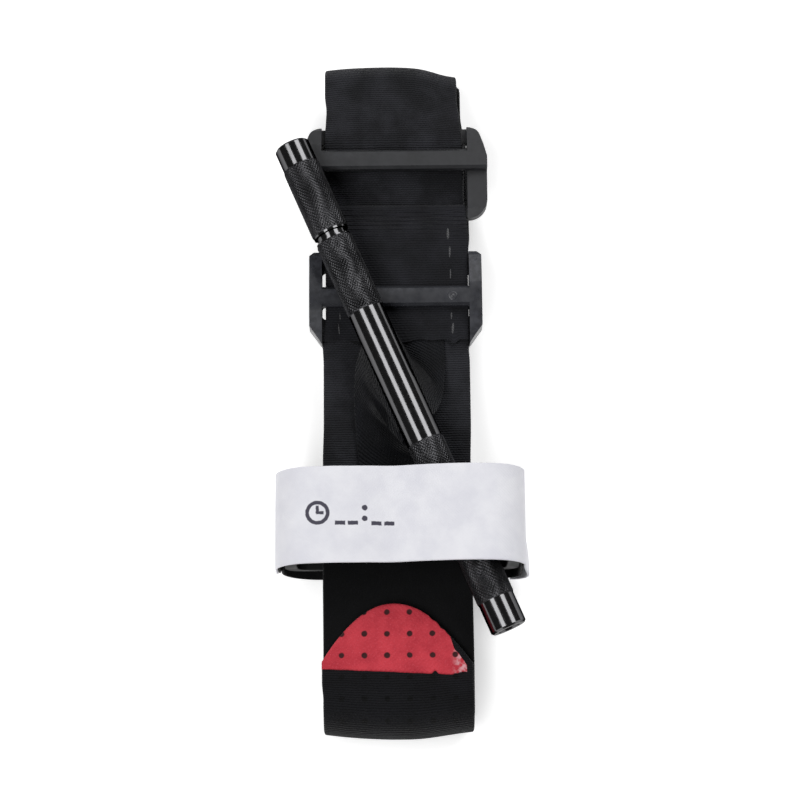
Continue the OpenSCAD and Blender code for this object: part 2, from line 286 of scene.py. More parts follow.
def dot_mask(s):
    """1 inside the pressed dots, found from the point's place at rest."""
    x, y = s.plan()
    ragged = s.noise(s.vec(x, y), 0.42, 2)

    def off(value, first, pitch):
        """Distance from the nearest dot's middle; the 20 pitches added keep the number positive."""
        cell = s.m("MULTIPLY_ADD", value, 1 / pitch, -first / pitch + 0.5)
        return s.m("MULTIPLY", s.m("SUBTRACT", s.m("FRACT", s.m("ADD", cell, 20.0)), 0.5), pitch)

    dx, dy = off(x, DOT_X, DOT_PX), off(y, DOT_Y, DOT_PY)
    d = s.m("SQRT", s.m("ADD", s.m("MULTIPLY", dx, dx), s.m("MULTIPLY", dy, dy)))
    d = s.m("ADD", d, s.m("MULTIPLY_ADD", ragged, 0.5, -0.25))
    return s.between(d, DOT_R - 0.15, DOT_R + 0.15, 1.0, 0.0)


def tip_material():
    """Red tape with pressed dots, and paler where it is frayed on the right."""
    s = Shade("tip_red_tape", (0.58, 0.040, 0.062), 0.75, 0.35)
    u, v = s.uv_mm()
    p = s.vec(u, v)
    weave = s.m("MULTIPLY", *(s.m("SINE", s.m("MULTIPLY", w, 5.2)) for w in (u, v)))
    fuzz = s.noise(p, 2.2, 4, 0.65)
    s.bump(s.m("ADD", s.m("MULTIPLY", weave, 0.35), fuzz), 0.16, 0.8)
    blotch = s.between(s.noise(p, 0.16, 3, 0.55), 0.3, 0.7)
    base = s.mix(blotch, (0.42, 0.018, 0.034), (0.56, 0.036, 0.055))
    base = s.mix(s.between(fuzz, 0.5, 0.8), base, (0.60, 0.07, 0.10))
    at_right = s.between(s.plan()[0], 12.8, 15.5)
    frayed = s.m("MULTIPLY", at_right, s.between(s.noise(p, 0.8, 3), 0.4, 0.6))
    base = s.mix(frayed, base, (0.62, 0.30, 0.33))
    s.set("Base Color", s.mix(dot_mask(s), base, (0.035, 0.002, 0.003)))
    s.set("Sheen Weight", 0.05)
    return s


def flap_material():
    """The band's tape, darker, with the pressed dots that go on past the red tip."""
    s = woven("flap_weave", (0.0042, 0.0043, 0.0058), vary=0.25)
    pressed = dot_mask(s)
    base = s.bsdf.inputs["Base Color"].links[0].from_socket
    s.set("Base Color", s.mix(pressed, base, (0.0012, 0.0012, 0.0015)))
    return s


def strap_material():
    """White write-on tape with a printed clock and an empty time field."""
    s = Shade("strap_write_on", (0.74, 0.74, 0.79), 0.7, 0.3)
    u, v = s.uv_mm()
    p = s.vec(u, v)
    weave = s.m("MULTIPLY", *(s.m("SINE", s.m("MULTIPLY", w, 7.5)) for w in (u, v)))
    fuzz = s.noise(p, 1.8, 4, 0.65)
    s.bump(s.m("ADD", s.m("MULTIPLY", weave, 0.25), fuzz), 0.1, 0.55)
    cloud = s.between(s.noise(p, 0.1, 3, 0.6), 0.3, 0.7)
    base = s.mix(cloud, (0.70, 0.70, 0.755), (0.79, 0.79, 0.83))
    x, y = s.plan()
    rough_ink = s.m("MULTIPLY_ADD", s.noise(p, 1.2, 2), 0.3, -0.15)

    def away(cx, cy):
        """Distance from a point."""
        a, b = s.m("SUBTRACT", x, cx), s.m("SUBTRACT", y, cy)
        return s.m("SQRT", s.m("ADD", s.m("MULTIPLY", a, a), s.m("MULTIPLY", b, b)))

    def bar(cx, cy, hx, hy):
        """Distance outside a bar of half sizes hx and hy, below 0 inside it."""
        a = s.m("SUBTRACT", s.m("ABSOLUTE", s.m("SUBTRACT", x, cx)), hx)
        b = s.m("SUBTRACT", s.m("ABSOLUTE", s.m("SUBTRACT", y, cy)), hy)
        return s.m("MAXIMUM", a, b)

    # The clock's ring and two hands, the dashes of the field and the two dots between them
    clock_x, line_y, clock_r = -19.9, -36.4, 2.55
    ring = s.m("ABSOLUTE", s.m("SUBTRACT", away(clock_x, line_y), clock_r))
    ink = s.m("SUBTRACT", ring, 0.46)
    marks = [bar(clock_x, line_y + 0.85, 0.38, 0.95), bar(clock_x + 0.65, line_y, 0.9, 0.38)]
    marks += [bar(cx, line_y - 2.5, 1.25, 0.5) for cx in (-14.3, -11.1, -5.3, -2.1)]
    marks += [s.m("SUBTRACT", away(-8.2, line_y + oy), 0.7) for oy in (-1.35, 1.35)]
    for mark in marks:
        ink = s.m("MINIMUM", ink, mark)
    ink = s.between(s.m("ADD", ink, rough_ink), -0.1, 0.12, 1.0, 0.0)
    s.set("Base Color", s.mix(ink, base, (0.055, 0.052, 0.075)))
    s.set("Sheen Weight", 0.2)
    return s


m_tip = tip_material()
m_flap = flap_material()
m_strap = strap_material()
m_back = pile("strap_fastener", (0.004, 0.004, 0.0045), 1.2, 0.2)


# ---------------------------------------------------------------- meshes
def add(name, data):
    """A new object of the scene."""
    ob = bpy.data.objects.new(name, data)
    bpy.context.scene.collection.objects.link(ob)
    return ob


def turn_outward(me):
    """Turns every face of a closed mesh outward."""
    bm = bmesh.new()
    bm.from_mesh(me)
    bmesh.ops.recalc_face_normals(bm, faces=bm.faces)
    bm.to_mesh(me)
    bm.free()


def smooth01(t):
    """A smooth step from 0 to 1 as t goes from 0 to 1."""
    t = np.clip(t, 0, 1)
    return t * t * (3 - 2 * t)


def arc(cx, cy, r, a0, a1, n):
    """n points of an arc; its angles are in degrees."""
    a = np.radians(np.linspace(a0, a1, n))
    return [(cx + r * math.cos(t), cy + r * math.sin(t)) for t in a]


def densify(points, step):
    """Points along a polyline, no further apart than step, keeping its corners."""
    out = [points[0]]
    for p, q in zip(points, points[1:]):
        n = max(1, int(math.ceil(math.dist(p, q) / step)))
        out += [(p[0] + (q[0] - p[0]) * i / n, p[1] + (q[1] - p[1]) * i / n)
                for i in range(1, n + 1)]
    return np.array(out)


def run(points):
    """Distance along a path, and the unit normal on its right."""
    d = np.diff(points, axis=0)
    length = np.hypot(d[:, 0], d[:, 1])
    s = np.concatenate([[0], np.cumsum(length)])
    t = d / length[:, None]
    t = np.vstack([t[:1], t[:-1] + t[1:], t[-1:]])
    t /= np.linalg.norm(t, axis=1)[:, None]
    return s, np.stack([t[:, 1], -t[:, 0]], axis=1)


def length_of(path):
    """Length of a path."""
    return run(path)[0][-1]


def columns(n, edge=0.035):
    """Places across a tape from -1 to 1, closer together at its edges, and its thickness there."""
    e = np.array([0, 0.18, 0.5, 1.0]) * edge
    mid = np.linspace(-1 + edge * 1.6, 1 - edge * 1.6, n)
    u = np.concatenate([-1 + e, mid, (1 - e)[::-1]])
    t = np.ones(len(u))
    t[:4] = [0.25, 0.72, 0.94, 1.0]
    t[-4:] = t[:4][::-1]
    return u, t


def closed_grid(name, top, bottom, uv, mats):
    """A closed mesh between two matching grids. The bottom takes the second material, if any."""
    n, m = top.shape[:2]
    verts = np.concatenate([top.reshape(-1, 3), bottom.reshape(-1, 3)])
    k = n * m
    i, j = np.meshgrid(np.arange(n - 1), np.arange(m - 1), indexing="ij")
    a = (i * m + j).ravel()
    quad = np.stack([a, a + 1, a + m + 1, a + m], axis=1)
    faces = [quad, quad[:, ::-1] + k]
    tone_id = [np.zeros(len(quad), int), np.ones(len(quad), int)]
    ring = np.concatenate([np.arange(m), np.arange(1, n) * m + m - 1,
                           (n - 1) * m + np.arange(m - 2, -1, -1), np.arange(n - 2, 0, -1) * m])
    nxt = np.roll(ring, -1)
    faces.append(np.stack([ring, ring + k, nxt + k, nxt], axis=1))
    tone_id.append(np.zeros(len(ring), int))
    faces = np.concatenate(faces)
    tone_id = np.concatenate(tone_id)
    me = bpy.data.meshes.new(name)
    me.from_pydata(verts.tolist(), [], faces.tolist())
    layer = me.uv_layers.new(name="strip")
    loops = np.zeros(len(me.loops), np.int32)
    me.loops.foreach_get("vertex_index", loops)
    flat = np.concatenate([uv.reshape(-1, 2), uv.reshape(-1, 2)])
    layer.data.foreach_set("uv", flat[loops].astype(np.float32).ravel())
    layer = me.uv_layers.new(name="plan")
    layer.data.foreach_set("uv", (verts[loops, :2] / MM).astype(np.float32).ravel())
    for s in mats:
        me.materials.append(s.mat)
    if len(mats) > 1:
        me.polygons.foreach_set("material_index", tone_id.astype(np.int32))
    turn_outward(me)
    me.polygons.foreach_set("use_smooth", np.ones(len(me.polygons), bool))
    return add(name, me)


def tape(name, path, width, lo, hi, place, mats, n_across, warp=None, s0=0.0):
    """A tape that runs along a path in a plane. lo and hi are its faces' offsets to the path's
    right. width, lo and hi are numbers or one value for each point. place(u, a, b) gives x, y, z.
    warp(grid, along, across, side) bends either face's grid. s0 is the length before its start."""
    s, nrm = run(path)
    u, thick = columns(n_across)
    n = len(path)
    w = np.broadcast_to(np.asarray(width, float), (n,))[:, None] / 2
    lo = np.broadcast_to(np.asarray(lo, float), (n,))[:, None]
    hi = np.broadcast_to(np.asarray(hi, float), (n,))[:, None]
    mid, half = (lo + hi) / 2, (hi - lo) / 2 * thick[None, :]
    across = w * u[None, :]
    along = s[:, None] + s0 + 0 * across
    grids = []
    for sign in (1, -1):
        off = mid + sign * half
        a = path[:, 0:1] + nrm[:, 0:1] * off
        b = path[:, 1:2] + nrm[:, 1:2] * off
        g = np.stack(place(across, a, b), axis=-1)
        if warp is not None:
            g = warp(g, along, across, sign)
        grids.append(g * MM)
    return closed_grid(name, grids[0], grids[1], np.stack([across, along], axis=-1), mats)


def wave(x, y, scale, seed):
    """Smooth noise between about -1 and 1 at each place of a grid."""
    f = np.vectorize(lambda a, b: noise.noise(Vector((a * scale, b * scale, seed))))
    return f(x, y)


def by_band(u, a, b):
    """The band's path lies in the YZ plane."""
    return u + 0 * a, a + 0 * u, b + 0 * u


# Sizes in millimetres, read from the frame where it has them
def top_of(node):
    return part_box(node)[1].z / MM


BAND_W, HALF_T = 38.0, 0.9
HALF_W = BAND_W / 2
# Heights of the band's passes, from the back to the front, and of the plate behind the front one
Z_TAIL, Z_P4, Z_P3, Z_P2 = 0.9, 3.5, 5.5, 7.5
PLATE_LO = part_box("base_plate")[0].z / MM
PLATE_HI = PLATE_LO + 2.0
BAR_HI = top_of("base_plate")
Z_P1 = PLATE_HI + 1.1
Z_TOP = PLATE_HI + 2.0
Z_FLAP = Z_P1 + 2.0
# The outer bottom fold and the top fold: their radii and the places of their axes
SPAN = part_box("band_webbing")[1].y / MM
R_OUT = (Z_FLAP - Z_TAIL) / 2
Y_OUT = -SPAN + R_OUT + HALF_T
R_TOP = (Z_TOP - Z_P3) / 2
Y_TOP = SPAN - R_TOP - HALF_T
ROD_Z = (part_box("windlass_rod")[0].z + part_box("windlass_rod")[1].z) / 2 / MM
LEAN = math.radians(23.1)


def fold_warp(g, s, u, sign):
    """Folds bow outward in the middle, the stack draws in at the top and its layers lie a little
    apart. upper is 1 on the front pass and the one behind it, and 0 on the passes further back."""
    x, y, z = g[..., 0], g[..., 1].copy(), g[..., 2]
    k = x / HALF_W
    top = smooth01((y - 62) / 26)
    low = smooth01((-y - 70) / 18)
    right = smooth01((k - 0.15) / 0.75)
    g[..., 1] = y - top * (1.15 * k * k + 0.35 * k + 1.2 + 1.5 * right * right * (z > 4.4))
    g[..., 1] += low * (1.25 * k * k - 0.15 * k + 0.75 * right)
    upper = smooth01((z - 5.9) / 0.8)
    slim = 1 - 0.02 * smooth01((y - 12) / 6) * smooth01((40 - y) / 8)
    slim -= upper * (0.03 * smooth01((y - 44) / 12) + 0.045 * smooth01((y - 60) / 20))
    slim -= (1 - upper) * 0.065 * smooth01((y - 68) / 12)
    shift = np.interp(z, [Z_TAIL, Z_P4, Z_P3, 6.6], [0.3, 0.9, -0.8, 0.0])
    shift = shift * smooth01((y - 38) / 6) * smooth01((74 - y) / 8)
    shift += 0.45 * smooth01((y - 12) / 6) * smooth01((46 - y) / 8) - 0.1
    shift -= upper * (0.2 * smooth01((y - 55) / 15) + 0.5 * smooth01((y - 76) / 6))
    shift += (1 - upper) * 0.2 * smooth01((y - 70) / 8)
    shift += 0.25 * smooth01((12 - y) / 6) * smooth01((y + 20) / 10)
    g[..., 0] = x * slim + shift + 0.12 * wave(s, 0 * s, 0.05, 3.1)
    return g


# The band from its sewn end to the tail, seen from the side
band_line = ([(41, Z_P1)]
             + arc(Y_OUT - 0.5, (Z_P1 + Z_P2) / 2, (Z_P1 - Z_P2) / 2, 90, 270, 15)
             + [(52.0, Z_P2), (53.8, Z_P2 + 0.3), (66.3, Z_TOP - 0.3), (68.2, Z_TOP)]
             + arc(Y_TOP, (Z_TOP + Z_P3) / 2, R_TOP, 90, -90, 19)
             + arc(Y_OUT - 0.4, (Z_P3 + Z_P4) / 2, 1.0, 90, 270, 11)
             + arc(Y_TOP - 5, (Z_P4 + Z_TAIL) / 2, (Z_P4 - Z_TAIL) / 2, 90, -90, 11)
             + [(Y_OUT, Z_TAIL)])
band_pts = densify(band_line, 1.1)
# On the front pass the pile starts under the strap, and above it the band is only its webbing
FRONT_POINTS, PILE_START, WEBBING_HI = 120, -25.5, 0.09
bare = (np.arange(len(band_pts)) < FRONT_POINTS) & (band_pts[:, 0] > PILE_START)
band_hi = np.where(bare, WEBBING_HI, HALF_T)


def band_warp(g, s, u, sign):
    """The top fold's front lies loose, and the front pass is a little uneven in its middle."""
    g = fold_warp(g, s, u, sign)
    x, y, z = g[..., 0], g[..., 1], g[..., 2]
    free = smooth01((y - 70) / 8) * (z > 9)
    g[..., 2] += free * (0.25 * wave(x, y, 0.09, 1.7) - 0.35 * (x / HALF_W) ** 2)
    mid = smooth01((8 - np.abs(y + 8) / 2) / 6) * (s < 110)
    g[..., 2] += 0.06 * mid * wave(x, y, 0.12, 5.0)
    return g


def show_webbing(me):
    """Gives the band's webbing to the faces of the front pass above the pile's start."""
    centre = np.zeros(len(me.polygons) * 3, np.float32)
    me.polygons.foreach_get("center", centre)
    y, z = centre.reshape(-1, 3)[:, 1:].T / MM
    ids = np.zeros(len(me.polygons), np.int32)
    me.polygons.foreach_get("material_index", ids)
    ids[(y > -26) & (y < 45) & (z > Z_P1 - 0.5)] = 1
    me.polygons.foreach_set("material_index", ids)


band = tape("band_mesh", band_pts, BAND_W, -HALF_T, band_hi, by_band, [m_pile, m_web], 30,
            band_warp)
show_webbing(band.data)
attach(band, "band")
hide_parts("band_webbing", "band_loop_face")
band_len = length_of(band_pts)


# Outer bottom fold and the tail flap, one piece of the same tape
DOME_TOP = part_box("tail_flap_webbing")[1].y / MM
DOME_BOW, DOME_LEAN = 24.0, 1.1
DOME_Y = DOME_TOP - HALF_W ** 2 / DOME_BOW
FLAT_STEP, DOME_ROWS = 0.35, 70
fold_pts = np.array(arc(Y_OUT, (Z_FLAP + Z_TAIL) / 2, R_OUT, -90, -270, 34))
# The dome's rows lie closer together towards its top
dome_rows = 1 - np.sin(np.linspace(0, math.pi / 2, DOME_ROWS))
flat_y = np.concatenate([np.arange(Y_OUT + FLAT_STEP, DOME_Y, FLAT_STEP),
                         DOME_TOP - 0.05 - (DOME_TOP - DOME_Y) * dome_rows])
flap_pts = np.vstack([fold_pts, np.stack([flat_y, np.full(len(flat_y), Z_FLAP)], axis=1)])


def dome_half(y):
    """Half the flap's width at y."""
    return np.minimum(HALF_W, np.sqrt(np.maximum(DOME_BOW * (DOME_TOP - y), 0.3)))


def dome_lean(y):
    """How far the dome leans to the left at y."""
    return DOME_LEAN * np.clip((y - DOME_Y) / (DOME_TOP - DOME_Y), 0, 1) ** 0.7


def dots(x, y):
    """How far into a pressed dot a place is, 0 to 1. The row under the tip's edge is left out."""
    dx = (x - DOT_X + DOT_PX / 2) % DOT_PX - DOT_PX / 2
    dy = (y - DOT_Y + DOT_PY / 2) % DOT_PY - DOT_PY / 2
    return smooth01(1 - np.hypot(dx, dy)) * (np.abs(y + 75.4) > 1.6)


in_fold = np.arange(len(flap_pts)) < len(fold_pts)
flap_w = 2 * np.where(in_fold, HALF_W, dome_half(flap_pts[:, 0]))


def flap_warp(g, s, u, sign):
    """Pressed dots on the flap's front, gentle waves, and the dome's lean."""
    x0, y0 = g[..., 0].copy(), g[..., 1].copy()
    g = fold_warp(g, s, u, sign)
    on_top = (g[..., 2] > Z_FLAP - 1.2) & (y0 > Y_OUT)
    if sign < 0:
        g[..., 2] -= 0.3 * dots(g[..., 0], g[..., 1]) * on_top
    flat = smooth01((y0 - Y_OUT) / 10)
    g[..., 2] += flat * (0.10 * wave(x0, y0, 0.11, 9.0) + 0.10)
    g[..., 0] -= dome_lean(y0) + 0.25 * smooth01((y0 + 82) / 5)
    g[..., 0] *= 1 - 0.006 * smooth01((-y0 - 76) / 8)
    return g


flap = tape("tail_flap_mesh", flap_pts, flap_w, -HALF_T, HALF_T, by_band, [m_hook, m_flap], 110,
            flap_warp, band_len)
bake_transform(flap)
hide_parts("tail_flap_webbing", "tail_flap_hook_tape")

# Red tip: from a slanting lower edge up to the dome, ragged on the right
TIP_ROWS, TIP_Y = 64, -74.35
xs = np.concatenate([[-19.4, -19.3, -19.1], np.linspace(-18.8, 16.4, 130), [16.7, 16.85, 16.95]])
lower_y = TIP_Y - 0.05 * xs + 0.12 * wave(xs, 0 * xs, 0.35, 2.2)
lower_y += 0.75 * smooth01(1 - np.abs(xs - 9.0) / 1.0) + 0.8 * smooth01((xs - 13.0) / 3.6)
lean = np.where(xs < 0, (xs + 0.2 + DOME_LEAN) / 18.4, (xs + DOME_LEAN) / 18.9)
upper_y = DOME_TOP + 0.1 - (lean * HALF_W) ** 2 / DOME_BOW
ragged = smooth01((xs - 5) / 6)
worn_off = 1.7 * smooth01((xs - 12.6) / 1.6)
upper_y = upper_y + ragged * (0.5 * wave(xs, 0 * xs, 0.9, 6.0) - 0.3 - worn_off)
upper_y = np.maximum(upper_y, lower_y + 0.5)
up = np.linspace(0, 1, TIP_ROWS)[:, None]
# The tape thins out at its edges
edge_y = np.minimum(1, np.minimum(up, 1 - up) / 0.035)
column = np.arange(len(xs))
edge_x = np.minimum(1, np.minimum(column, len(xs) - 1 - column) / 3)[None, :]
body = np.clip(np.sqrt(edge_y), 0.15, 1) * np.clip(edge_x, 0.25, 1)
X = xs[None, :] + 0 * up
Y = lower_y[None, :] + (upper_y - lower_y)[None, :] * up
# It follows the flap's waves, with its own on top, and lifts at the frayed corner
puff = 0.10 * wave(X, Y, 0.11, 9.0) + 0.10 + 0.12 * wave(X, Y, 0.3, 4.0)
puff += 0.25 * smooth01((X - 12.5) / 3) * smooth01(1 - np.abs(Y + 72.5) / 3.5)
z_base = Z_FLAP + 0.93 + puff * 0.8 - 0.3 * dots(X, Y)
z_face = z_base + 0.38 * body + 0.06 * wave(X, Y, 0.9, 8.0) * body
tip = closed_grid("tail_tip_mesh", np.stack([X, Y, z_face], axis=-1) * MM,
                  np.stack([X, Y, z_base - 0.1], axis=-1) * MM, np.stack([X, Y], axis=-1), [m_tip])
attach(tip, "tail_flap")
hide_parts("tail_tip")


# Front sleeve layer, wrapped round the buckle's lower rail
RAIL_Z = (PLATE_LO + PLATE_HI) / 2
WRAP_Y, WRAP_R = 48.4, 1.38
SLEEVE_HALF_T = 0.25
SLEEVE_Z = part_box("sleeve_front")[1].z / MM - SLEEVE_HALF_T
SLEEVE_END = 12.2
sleeve_pts = densify([(SLEEVE_END, SLEEVE_Z), (40.5, SLEEVE_Z), (43.2, SLEEVE_Z - 0.55),
                      (46.2, RAIL_Z + 1.42)]
                     + arc(WRAP_Y, RAIL_Z, WRAP_R, 90, -90, 13)
                     + [(44.4, RAIL_Z - WRAP_R), (41.4, Z_P1 - 1.2), (37, Z_P1 - 1.2)], 0.3)


def sleeve_warp(g, s, u, sign):
    """An uneven free edge, puckers where the sleeve meets the rail, and slight waves between."""
    x, y, z = g[..., 0].copy(), g[..., 1].copy(), g[..., 2].copy()
    cut = smooth01(1 - (y - SLEEVE_END) / 2.5) * (z > Z_P1)
    dip = 1.25 * smooth01(1 - np.abs(x - 15.2) / 1.5) + 0.8 * smooth01(1 - np.abs(x - 1.5) / 4)
    dip = dip + 0.3 * wave(x, 0 * x, 0.28, 7.3)
    g[..., 1] = y - cut * dip
    g[..., 2] += cut * (0.16 * wave(x, y, 0.4, 1.1) + 0.08)
    bunch = smooth01(1 - np.abs(y - 44.5) / 5.5) * (z > RAIL_Z)
    pucker = 0.36 * np.sin(y * 4.6 + 3.0 * wave(x, y, 0.16, 2.0))
    g[..., 2] += bunch * (pucker * (0.55 + 0.6 * wave(x, y, 0.22, 8.0)) + 0.12)
    calm = smooth01((y - 12) / 6) * smooth01((41 - y) / 6)
    g[..., 2] += 0.05 * calm * wave(x, y, 0.16, 4.4)
    return fold_warp(g, s, u, sign)


sleeve = tape("sleeve_mesh", sleeve_pts, BAND_W, -SLEEVE_HALF_T, SLEEVE_HALF_T, by_band,
              [m_sleeve, m_sleeve], 60, sleeve_warp)
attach(sleeve, "band")
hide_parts("sleeve_front")


# Inner ribbon: from the sleeve into the right of the rod's slot, and from its left to the clip
RIBBON_W, RIBBON_T = 24.8, 0.42


def bezier_sheet(name, rows, n_s, ripple, seed, gather, marks):
    """A ribbon between four control edges, each a function of v from 0 to 1 across it. gather
    puckers the short side, at v = 1. marks are creases and tucks: x0, y0, x1, y1, height, width."""
    s = np.linspace(0, 1, n_s)[:, None, None]
    u, thick = columns(26, 0.03)
    v = (u + 1) / 2
    c = [np.array([f(q) for q in v])[None, :, :] for f in rows]
    p = ((1 - s) ** 3 * c[0] + 3 * s * (1 - s) ** 2 * c[1]
         + 3 * s * s * (1 - s) * c[2] + s ** 3 * c[3])
    ds = np.gradient(p, axis=0)
    dv = np.gradient(p, axis=1)
    nrm = np.cross(dv, ds)
    nrm /= np.linalg.norm(nrm, axis=2)[..., None] + 1e-9
    S = s[..., 0] + 0 * v[None, :]
    fade = (np.sin(np.pi * S))[..., None]
    p = p + nrm * fade * ripple * wave(S * 20, v[None, :] * 20 + 0 * S, 0.2, seed)[..., None]
    pucker = np.sin(2 * math.pi * (4 * S + 0.25 * v[None, :]))
    p = p + nrm * fade * (gather * smooth01(v[None, :] / 0.9) * pucker)[..., None]
    for x0, y0, x1, y1, rise, wide in marks:
        square = (x1 - x0) ** 2 + (y1 - y0) ** 2
        q = np.clip(((p[..., 0] - x0) * (x1 - x0) + (p[..., 1] - y0) * (y1 - y0)) / square, 0, 1)
        d = np.hypot(p[..., 0] - x0 - q * (x1 - x0), p[..., 1] - y0 - q * (y1 - y0))
        p[..., 2] += rise * np.exp(-(d / wide) ** 2) * fade[..., 0]
    half = (RIBBON_T / 2) * thick[None, :, None]
    length = np.linalg.norm(ds, axis=2).sum(0).mean()
    uv = np.stack([(v[None, :] * 25) + 0 * S, S * length], axis=-1)
    return closed_grid(name, (p + nrm * half) * MM, (p - nrm * half) * MM, uv, [m_ribbon]), length


# Unit vectors along the rod and square to it, and its middle
ROD_AXIS = np.array([-math.sin(LEAN), math.cos(LEAN), 0.0])
ROD_SIDE = np.array([math.cos(LEAN), math.sin(LEAN), 0.0])
ROD_MID = np.array([0, 0, ROD_Z])
RIBBON_Z = Z_P1 + 0.35


def slot_edge(v, side, out, drop=0.0):
    """A point of an edge beside the rod's slot: out from the rod, and drop below its axis."""
    along = RIBBON_W / 2 - RIBBON_W * v
    return ROD_MID + ROD_SIDE * side * out + ROD_AXIS * along + np.array([0, 0, -drop])


ribbon_up, len_up = bezier_sheet("ribbon_upper_mesh", [
    lambda v: np.array([-RIBBON_W / 2 + RIBBON_W * v, 14.0, RIBBON_Z]),
    lambda v: np.array([-RIBBON_W / 2 + RIBBON_W * v, 6.5, RIBBON_Z + 0.1 + 0.5 * v]),
    lambda v: slot_edge(v, 1, 11.5 - 2.0 * v, 7.6 - 1.2 * v),
    lambda v: slot_edge(v, 1, 3.0)], 70, 0.35, 2.0, 0.0, [(2.5, 10.5, 9.4, 1.0, -0.7, 0.7)])
# The lower stretch is squeezed to this width between the rod and the clip
LOW_W = 22.4
ribbon_low, len_low = bezier_sheet("ribbon_lower_mesh", [
    lambda v: slot_edge(v, -1, 3.0),
    lambda v: slot_edge(v, -1, 8.6 + 0.8 * v, 6.3),
    lambda v: np.array([-10.6 + LOW_W * v, -14.0 - 2 * v, RIBBON_Z + 0.6 + 0.5 * math.sin(5 * v)]),
    lambda v: np.array([-9.2 + LOW_W * v, -26.0, RIBBON_Z + 0.1])], 110, 0.45, 5.0, 1.35,
    [(-0.8, -9.5, 0.2, -13.5, 1.1, 1.3)])
# Both bend from the band to the rod over a short height below the rod
for piece, node in ((ribbon_up, "ribbon_upper"), (ribbon_low, "ribbon_lower")):
    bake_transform(piece)
    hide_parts(node)


def by_slot(u, a, b):
    """The stretch inside the slot runs straight across the rod."""
    return (ROD_SIDE[0] * a - ROD_AXIS[0] * u, ROD_SIDE[1] * a - ROD_AXIS[1] * u, b + 0 * u)


core_path = np.array([(a, ROD_Z) for a in np.linspace(-4.4, 4.4, 12)])
core = tape("ribbon_core_mesh", core_path, RIBBON_W, -RIBBON_T / 2, RIBBON_T / 2, by_slot,
            [m_ribbon, m_ribbon], 20)
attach(core, "windlass")
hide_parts("ribbon_core")


# Time strap: white face outside, black fastener inside, with a soft sag between the hooks
# The clip's middle, half its width, its corner radius, and the height of the strap's hidden run
CLIP_X, CLIP_H, CLIP_R, RUN_Z = 0.95, 29.8, 8.0, 2.5
# How far the strap stands off the clip, and how much further out it swings at the left
GAP, BULGE = 0.15, 0.9
PANEL_Z = top_of("windlass_clip") + GAP
STRAP_Y, STRAP_W = -36.5, 24.4
BACK_W = STRAP_W - 0.3
# The strap's path is its inner face, and these faces of its two layers lie outside the path
FACE_LO, FACE_HI, BACK_LO = -1.27, -0.62, -0.6


def panel_line(low):
    """The strap from its left end, at height low, over the clip to its right side."""
    left = -CLIP_H - BULGE + GAP
    r = CLIP_R + BULGE
    out = [(left, low)]
    out += arc(left + r, PANEL_Z - r, r, 180, 90, 12)
    for x in np.linspace(left + r + 0.8, 21.0, 44):
        sag = 2.25 * math.exp(-((x + 1.0) / 9.5) ** 2)
        out.append((x, PANEL_Z - sag))
    out += arc(CLIP_H - CLIP_R, PANEL_Z - CLIP_R - GAP, CLIP_R + GAP, 90, 0, 18)
    return out


def by_strap(u, a, b):
    """The strap's path lies in the XZ plane, round the clip."""
    return a + CLIP_X + 0 * u, STRAP_Y - u + 0 * a, b + 0 * u


def strap_warp(g, s, u, sign):
    """A slow wave along the strap, and a flare at the lower right."""
    x, y, z = g[..., 0].copy(), g[..., 1].copy(), g[..., 2].copy()
    g[..., 1] += 0.3 * np.sin(x * 0.075 + 0.6) + 0.12 * wave(x, 0 * x, 0.12, 3.0)
    flare = smooth01((x - 24) / 5) * smooth01((20 - z) / 12) * smooth01((STRAP_Y + 4 - y) / 14)
    g[..., 0] += 1.3 * flare
    g[..., 1] -= 0.5 * flare
    high = smooth01((z - 25) / 2)
    g[..., 2] += high * 0.10 * wave(x, y, 0.1, 7.7)
    return g


# Radii of the strap's lower corners, and the heights where its two layers end on the left
LOW_RIGHT, LOW_LEFT = 5.0, 10.0
WHITE_END, BLACK_END = 14.5, 14.8
white_line = densify(panel_line(WHITE_END)
                     + arc(CLIP_H + GAP - LOW_RIGHT, RUN_Z + LOW_RIGHT, LOW_RIGHT, 0, -72, 12), 0.7)
white = tape("time_strap_face_mesh", white_line, STRAP_W, FACE_LO, FACE_HI, by_strap,
             [m_strap, m_strap], 34, strap_warp)
black_line = densify(panel_line(BLACK_END), 0.7)
black = tape("time_strap_back_mesh", black_line, BACK_W, BACK_LO, 0.0, by_strap,
             [m_back, m_back], 28, strap_warp)
for piece, nodes in ((white, ("time_strap_face", "strap_anchor_face")),
                     (black, ("time_strap_backing",))):
    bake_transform(piece)
    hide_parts(*nodes)
# The fixed part: down the clip's right side, under the band and up the left side
ANCHOR_GAP, RIGHT_START, LEFT_END = 0.1, 22.0, 17.5
wrap_line = densify([(CLIP_H + ANCHOR_GAP, RIGHT_START)]
                    + arc(CLIP_H + ANCHOR_GAP - LOW_RIGHT, RUN_Z + LOW_RIGHT, LOW_RIGHT, 0, -90, 10)
                    + arc(LOW_LEFT - CLIP_H - ANCHOR_GAP, RUN_Z + LOW_LEFT, LOW_LEFT, -90, -180, 16)
                    + [(-CLIP_H - ANCHOR_GAP, LEFT_END)], 0.8)
wrap = tape("strap_anchor_mesh", wrap_line, STRAP_W, BACK_LO, 0.0, by_strap, [m_back, m_back], 26)
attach(wrap, "band")
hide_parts("strap_anchor_backing")


flap_area = float(np.sum((flap_w[1:] + flap_w[:-1]) / 2 * np.diff(run(flap_pts)[0]))) * MM * MM
length_of(flap_pts)
length_of(sleeve_pts)
length_of(white_line)
length_of(black_line)
length_of(wrap_line)


# Knurled grips: diamonds between crossing grooves that stay clear of the polished rod (radius 4.7)
KNURL_LO, KNURL_RISE, KNURL_BORE = 4.73, 0.19, 4.55


